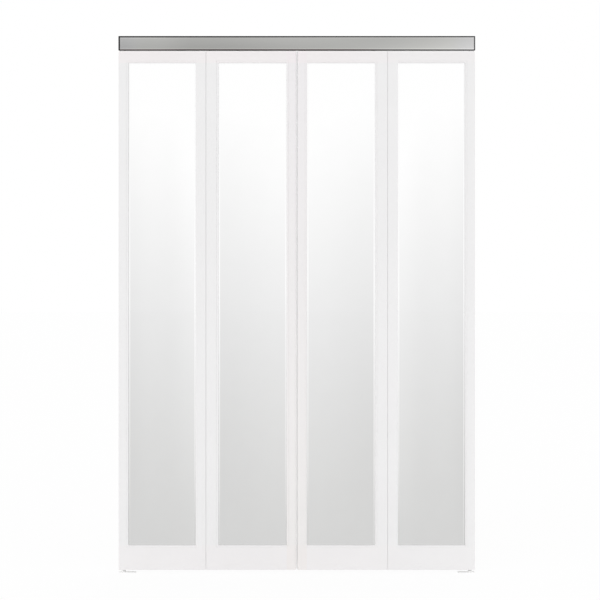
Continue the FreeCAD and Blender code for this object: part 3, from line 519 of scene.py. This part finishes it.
def slot_materials():
    """One material for each of the record's slots, apart from the mirrors."""
    made = {"white_frame": painted_fibreboard(), "hardboard": hardboard(),
            "fascia_metal": satin_fascia()}
    for slot, colour, roughness, streak_axis in (
            ("hinge_steel", (0.60, 0.61, 0.62), 0.34, "z"),
            ("screw_steel", (0.52, 0.53, 0.55), 0.30, "x"),
            ("pin_steel", (0.88, 0.88, 0.88), 0.30, "x"),
            ("spring_steel", (0.32, 0.32, 0.34), 0.30, "x"),
            ("mill_aluminium", (0.66, 0.67, 0.68), 0.38, "x")):
        made[slot] = brushed_metal(slot, colour, roughness, streak_axis)
    made["cast_zinc"] = brushed_metal("cast_zinc", (0.42, 0.43, 0.45), 0.5, "x",
                                      streak_depth=0.00003)
    made["nylon"] = moulded("nylon", (0.86, 0.86, 0.85), 0.40, translucence=0.6)
    made["bracket_steel"] = moulded("bracket_steel", (0.95, 0.95, 0.94), 0.38, grain=1400.0)
    made["cap_plastic"] = moulded("cap_plastic", (0.045, 0.045, 0.047), 0.45)
    made["snubber_rubber"] = moulded("snubber_rubber", (0.022, 0.022, 0.022), 0.62,
                                     grain=500.0)
    return made


# -------------------------------------------------------------------- the nodes
def dress_nodes():
    """Give every CAD node the material of its slot."""
    materials = slot_materials()
    for entry in frame["record"]["subparts"]:
        name = entry["node"]
        if entry["material_slot"] == "mirror_glass":
            material = silvered_mirror(name)
        else:
            material = materials[entry["material_slot"]]
        slots = frame["nodes"][name].data.materials
        slots.clear()
        slots.append(material)


def press_springs():
    """Gives each spring under its pin a mesh of its own."""
    for side in ("left", "right"):
        for pin, spring in (("top_pin_press", "top_pivot_spring"),
                            ("guide_pin_press", "guide_spring")):
            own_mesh(frame["nodes"][f"{side}_{spring}"])


# ------------------------------------------------- floor, world, lamps and camera
def seen_directly(g):
    """1 for what the camera, a mirror or glass shows, and 0 for light on matt faces."""
    path = g.add("LightPath", {}).outputs
    mirrored = g.greatest(path["Is Glossy Ray"], path["Is Transmission Ray"])
    return g.greatest(path["Is Camera Ray"], mirrored)


def studio_floor():
    """Pale floor that keeps the door's faint shadow."""
    size = FLOOR_HALF_WIDTH
    mesh = bpy.data.meshes.new("studio_floor")
    corners = [(-size, -size, 0), (size, -size, 0), (size, size, 0), (-size, size, 0)]
    mesh.from_pydata(corners, [], [(0, 1, 2, 3)])
    floor = bpy.data.objects.new("studio_floor", mesh)
    scene.collection.objects.link(floor)
    material = bpy.data.materials.new("studio_floor")
    g = Graph(material)
    matt = g.add("BsdfDiffuse", {"Color": grey(FLOOR_TONE)}).outputs[0]
    bright = g.add("Emission", {"Color": WHITE, "Strength": 1.0}).outputs[0]
    seen = g.add("MixShader", {0: FLOOR_GLOW, 1: matt, 2: bright}).outputs[0]
    surface = g.add("MixShader", {0: seen_directly(g), 1: matt, 2: seen}).outputs[0]
    g.add("OutputMaterial", {"Surface": surface})
    mesh.materials.append(material)


def studio_world():
    """White background, and plain even light on matt faces."""
    world = bpy.data.worlds.new("studio")
    scene.world = world
    g = Graph(world)
    strength = g.ramp(seen_directly(g), 0.0, 1.0, AMBIENT, 1.0)
    background = g.add("Background", {"Color": WHITE, "Strength": strength})
    g.add("OutputWorld", {"Surface": background.outputs[0]})


def soft_light(name, direction, power):
    """A broad lamp far away, shining along a direction."""
    data = bpy.data.lights.new(name, "SUN")
    data.angle = LAMP_ANGLE
    data.energy = power
    lamp = bpy.data.objects.new(name, data)
    scene.collection.objects.link(lamp)
    lamp.rotation_euler = Vector(direction).to_track_quat("-Z", "Y").to_euler()
    lamp.visible_glossy = False


def studio_camera():
    """Square on to the door, framed as the photograph frames it."""
    data = bpy.data.cameras.new("camera")
    data.sensor_width = SENSOR_WIDTH
    data.lens = SENSOR_WIDTH * EYE_DISTANCE / (FRAME_PIXELS * METRES_PER_PIXEL)
    camera = bpy.data.objects.new("camera", data)
    scene.collection.objects.link(camera)
    side = (FRAME_PIXELS / 2 - DOOR_CENTRE_PIXEL) * METRES_PER_PIXEL
    camera.location = (side, STILE_LOW.y - EYE_DISTANCE, EYE_HEIGHT)
    camera.rotation_euler = (math.pi / 2, 0, 0)
    scene.camera = camera


# -------------------------------------------------------------------- the scene
studio_camera()
studio_floor()
studio_world()
soft_light("key", (0.5, 1.0, -0.6), 0.55)
soft_light("fill", (-0.7, 1.0, -0.1), 0.25)
soft_light("back", (-0.3, -1.0, -0.5), 0.5)
dress_nodes()
press_springs()
